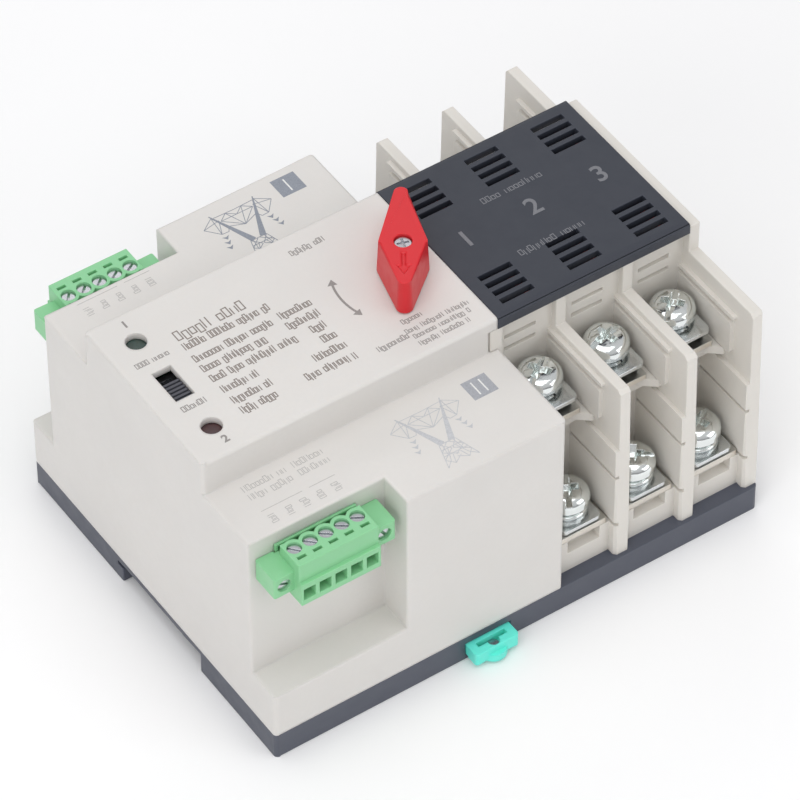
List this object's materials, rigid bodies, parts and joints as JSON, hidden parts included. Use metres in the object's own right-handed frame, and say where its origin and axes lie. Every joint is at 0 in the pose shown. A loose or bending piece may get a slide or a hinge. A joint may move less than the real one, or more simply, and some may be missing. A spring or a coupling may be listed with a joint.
{
  "type": "manual transfer switch",
  "caption": "Rail-mounted dual-source transfer switch with a manual selector knob, plug-in connectors and screw terminals between barriers.",
  "frame": {"origin": "middle of the face that rests on the mounting rail, under the middle of the body's length", "axes": "+X along the rail, from the control end to the pole end; +Y towards the source A terminals; +Z away from the rail"},
  "size_m": [0.1624, 0.1315, 0.1002],
  "materials": {
    "housing": "fine moulded texture, satin",
    "pole_plastic": "fine moulded texture, satin",
    "slate_plastic": "fine moulded texture, satin",
    "latch_plastic": "smooth",
    "connector_plastic": "smooth, slightly translucent look",
    "knob_plastic": "smooth satin",
    "dark_plastic": "ribbed",
    "lamp_green": "clear epoxy",
    "lamp_red": "clear epoxy",
    "zinc_steel": "zinc plated",
    "spring_steel": "plain",
    "iron": "plain",
    "tinned_copper": "tin plated",
    "silver": "satin",
    "copper": "bare",
    "brass": "turned",
    "board": "solder mask",
    "relay_plastic": "smooth",
    "sleeve_plastic": "shrink sleeve",
    "nylon": "plain",
    "fibre": "plain"
  },
  "bodies": {
    "housing": {"base_plate": "slate_plastic", "base_screws": "zinc_steel", "control_cover": "housing", "control_board": "board", "display_board": "board", "board_posts": "zinc_steel", "relays": "relay_plastic", "capacitors": "sleeve_plastic", "board_terminals": "nylon", "lamp_a": "lamp_green", "lamp_b": "lamp_red", "slide_switch": "zinc_steel", "header_a": "connector_plastic", "header_b": "connector_plastic", "header_pins_a": "zinc_steel", "header_pins_b": "zinc_steel", "drive_frame": "iron", "coil_a": "copper", "coil_b": "copper", "bobbin_a": "nylon", "bobbin_b": "nylon", "core_stops": "iron", "spindle_bush": "brass", "guide_rod": "spring_steel", "pole_housing": "pole_plastic", "arc_cover": "slate_plastic", "arc_plates": "iron", "arc_cheeks": "fibre", "upper_busbars": "tinned_copper", "lower_busbars": "tinned_copper", "fixed_tips": "silver", "clamp_plates": "zinc_steel", "terminal_screws_a": "zinc_steel", "terminal_screws_b": "zinc_steel", "spring_washers": "zinc_steel", "flat_washers": "zinc_steel"},
    "selector": {"knob": "knob_plastic", "knob_screw": "zinc_steel", "spindle": "spring_steel", "crank_pin": "spring_steel"},
    "carriage": {"carriage": "dark_plastic", "plunger": "iron", "bridge_contacts": "copper", "bridge_tips": "silver", "bridge_springs": "spring_steel"},
    "mode_slider": {"switch_slider": "dark_plastic"},
    "latch": {"rail_latch": "latch_plastic", "latch_spring": "spring_steel"},
    "plug_a": {"plug_a": "connector_plastic", "plug_screws_a": "zinc_steel", "plug_cages_a": "zinc_steel"},
    "plug_b": {"plug_b": "connector_plastic", "plug_screws_b": "zinc_steel", "plug_cages_b": "zinc_steel"}
  },
  "joints": [
    {"name": "carriage_slide", "type": "slide", "parent": "housing", "child": "carriage", "axis": [0, 1, 0], "range_m": [0, 0.00843]},
    {"name": "knob_turn", "type": "hinge", "parent": "housing", "child": "selector", "pos_m": [0.00275, 0, 0.09], "axis": [0, 0, 1], "range_deg": [-115, 0]},
    {"name": "mode_slide", "type": "slide", "parent": "housing", "child": "mode_slider", "axis": [0, 1, 0], "range_m": [0, 0.0043]},
    {"name": "latch_pull", "type": "slide", "parent": "housing", "child": "latch", "axis": [0, -1, 0], "range_m": [0, 0.004], "stiffness_N_per_m": 900, "springref_m": -0.003},
    {"name": "plug_a_pull", "type": "slide", "parent": "housing", "child": "plug_a", "axis": [0, 1, 0], "range_m": [0, 0.01]},
    {"name": "plug_b_pull", "type": "slide", "parent": "housing", "child": "plug_b", "axis": [0, -1, 0], "range_m": [0, 0.01]}
  ],
  "couplings": [
    {"joint": "knob_turn", "follows": "carriage_slide", "rad_per_m": -238.05}
  ]
}
